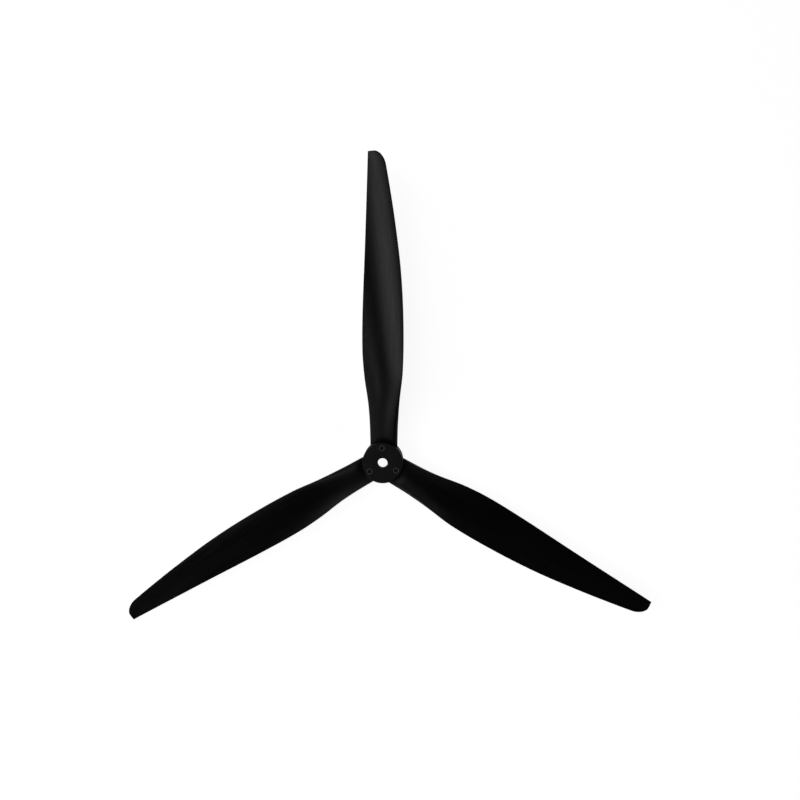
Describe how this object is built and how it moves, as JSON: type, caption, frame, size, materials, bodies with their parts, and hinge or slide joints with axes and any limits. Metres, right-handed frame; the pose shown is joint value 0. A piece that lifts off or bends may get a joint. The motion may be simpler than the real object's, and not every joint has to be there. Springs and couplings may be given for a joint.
{
  "type": "three-blade propeller",
  "caption": "Moulded propeller for a multirotor or model aircraft, with a flat round hub, a shaft bore and a removable centring ring.",
  "frame": {"origin": "centre of the shaft bore, at the middle of the web that it goes through", "axes": "+Z along the shaft axis, the way the thrust goes; +Y along blade_1; seen from +Z the propeller turns clockwise"},
  "size_m": [0.2659, 0.2324, 0.0113],
  "materials": {
    "blade_nylon": "satin",
    "hub_nylon": "matte",
    "ring_nylon": "matte"
  },
  "bodies": {
    "propeller": {"hub": "hub_nylon", "blade_1": "blade_nylon", "blade_2": "blade_nylon", "blade_3": "blade_nylon"},
    "ring": {"centring_ring": "ring_nylon"}
  },
  "joints": [
    {"name": "ring_slide", "type": "slide", "parent": "propeller", "child": "ring", "axis": [0, 0, -1], "range_m": [0, 0.015]}
  ]
}
